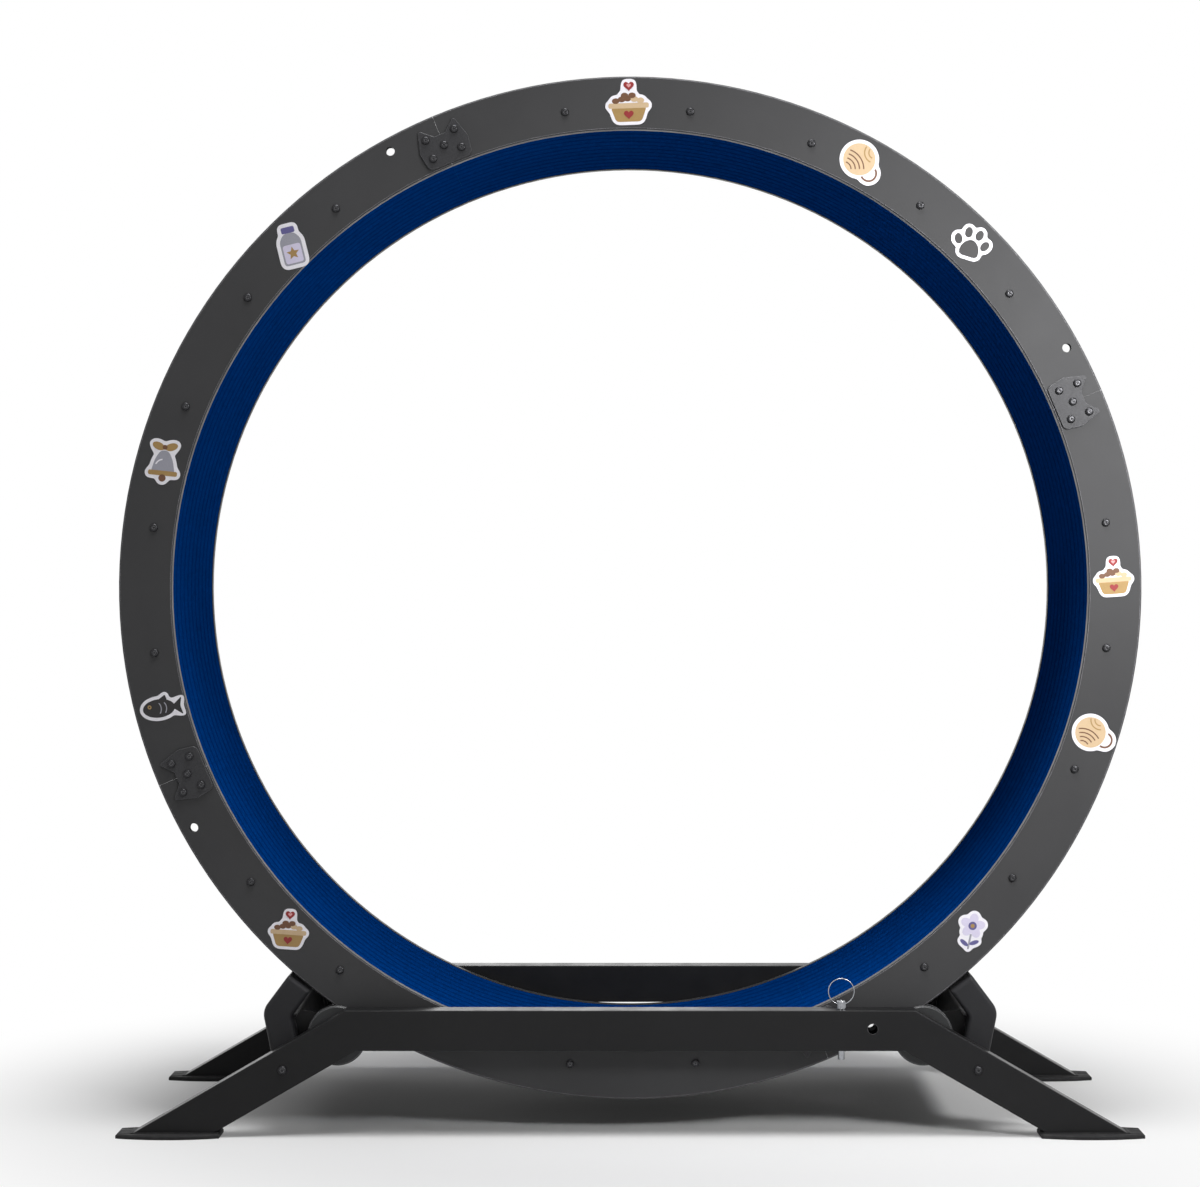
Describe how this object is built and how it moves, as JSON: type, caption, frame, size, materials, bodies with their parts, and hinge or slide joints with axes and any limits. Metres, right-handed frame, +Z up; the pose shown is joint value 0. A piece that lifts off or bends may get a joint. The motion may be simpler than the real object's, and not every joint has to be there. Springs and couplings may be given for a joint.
{
  "type": "cat exercise wheel",
  "caption": "Running wheel for a cat: a carpet-lined drum between two side rings, carried by grooved rollers on a low base, with a lock pin kept in the front bar.",
  "frame": {"origin": "on the floor, under the middle of the drum", "axes": "+X to the right seen from the front, +Y from the front to the back along the wheel's axis, +Z up"},
  "size_m": [1.2, 0.455, 1.238],
  "materials": {
    "ring": "satin",
    "joint_plate": "satin",
    "carpet": "ribbed needle felt",
    "panel": "matte",
    "tube": "satin powder coat",
    "black_screw": "black oxide",
    "zinc": "zinc plated",
    "frame": "satin powder coat",
    "foot": "moulded",
    "guard": "satin",
    "roller": "satin",
    "bearing": "ground",
    "chrome": "polished"
  },
  "bodies": {
    "wheel": {"front_ring_segment_1": "ring", "front_joint_plate_1": "joint_plate", "rear_ring_segment_1": "ring", "rear_joint_plate_1": "joint_plate", "carpet_1": "carpet", "running_panel_1": "panel", "cross_tubes_1": "tube", "front_ring_segment_2": "ring", "front_joint_plate_2": "joint_plate", "rear_ring_segment_2": "ring", "rear_joint_plate_2": "joint_plate", "carpet_2": "carpet", "running_panel_2": "panel", "cross_tubes_2": "tube", "front_ring_segment_3": "ring", "front_joint_plate_3": "joint_plate", "rear_ring_segment_3": "ring", "rear_joint_plate_3": "joint_plate", "carpet_3": "carpet", "running_panel_3": "panel", "cross_tubes_3": "tube", "front_ring_segment_4": "ring", "front_joint_plate_4": "joint_plate", "rear_ring_segment_4": "ring", "rear_joint_plate_4": "joint_plate", "carpet_4": "carpet", "running_panel_4": "panel", "cross_tubes_4": "tube", "ring_screws": "black_screw", "plate_screws": "black_screw", "joint_nuts": "zinc"},
    "base": {"front_frame": "frame", "front_left_foot": "foot", "front_left_roller_bracket": "frame", "front_right_foot": "foot", "front_right_roller_bracket": "frame", "rear_frame": "frame", "rear_left_foot": "foot", "rear_left_roller_bracket": "frame", "rear_right_foot": "foot", "rear_right_roller_bracket": "frame", "left_guard": "guard", "right_guard": "guard", "axle_bolts": "zinc", "axle_spacers": "zinc", "leg_screws": "black_screw", "bracket_screws": "zinc"},
    "front_left_roller": {"front_left_roller": "roller", "front_left_roller_bearings": "bearing"},
    "front_right_roller": {"front_right_roller": "roller", "front_right_roller_bearings": "bearing"},
    "rear_left_roller": {"rear_left_roller": "roller", "rear_left_roller_bearings": "bearing"},
    "rear_right_roller": {"rear_right_roller": "roller", "rear_right_roller_bearings": "bearing"},
    "lock_pin": {"lock_pin": "chrome"},
    "lock_ring": {"lock_ring": "chrome"}
  },
  "joints": [
    {"name": "wheel_spin", "type": "hinge", "parent": "base", "child": "wheel", "pos_m": [0, 0, 0.638], "axis": [0, 1, 0], "continuous": true},
    {"name": "front_left_roller_spin", "type": "hinge", "parent": "base", "child": "front_left_roller", "pos_m": [-0.34349, -0.169, 0.1131], "axis": [0, 1, 0], "continuous": true},
    {"name": "front_right_roller_spin", "type": "hinge", "parent": "base", "child": "front_right_roller", "pos_m": [0.34349, -0.169, 0.1131], "axis": [0, 1, 0], "continuous": true},
    {"name": "rear_left_roller_spin", "type": "hinge", "parent": "base", "child": "rear_left_roller", "pos_m": [-0.34349, 0.169, 0.1131], "axis": [0, 1, 0], "continuous": true},
    {"name": "rear_right_roller_spin", "type": "hinge", "parent": "base", "child": "rear_right_roller", "pos_m": [0.34349, 0.169, 0.1131], "axis": [0, 1, 0], "continuous": true},
    {"name": "lock_pin_slide", "type": "slide", "parent": "base", "child": "lock_pin", "axis": [0, 0, 1], "range_m": [0, 0.09]},
    {"name": "lock_ring_swing", "type": "hinge", "parent": "lock_pin", "child": "lock_ring", "pos_m": [0.246, -0.197, 0.1525], "axis": [1, 0, 0], "range_deg": [-25, 95]}
  ],
  "couplings": [
    {"joint": "front_left_roller_spin", "follows": "wheel_spin", "ratio": -22.222},
    {"joint": "front_right_roller_spin", "follows": "wheel_spin", "ratio": -22.222},
    {"joint": "rear_left_roller_spin", "follows": "wheel_spin", "ratio": -22.222},
    {"joint": "rear_right_roller_spin", "follows": "wheel_spin", "ratio": -22.222}
  ]
}
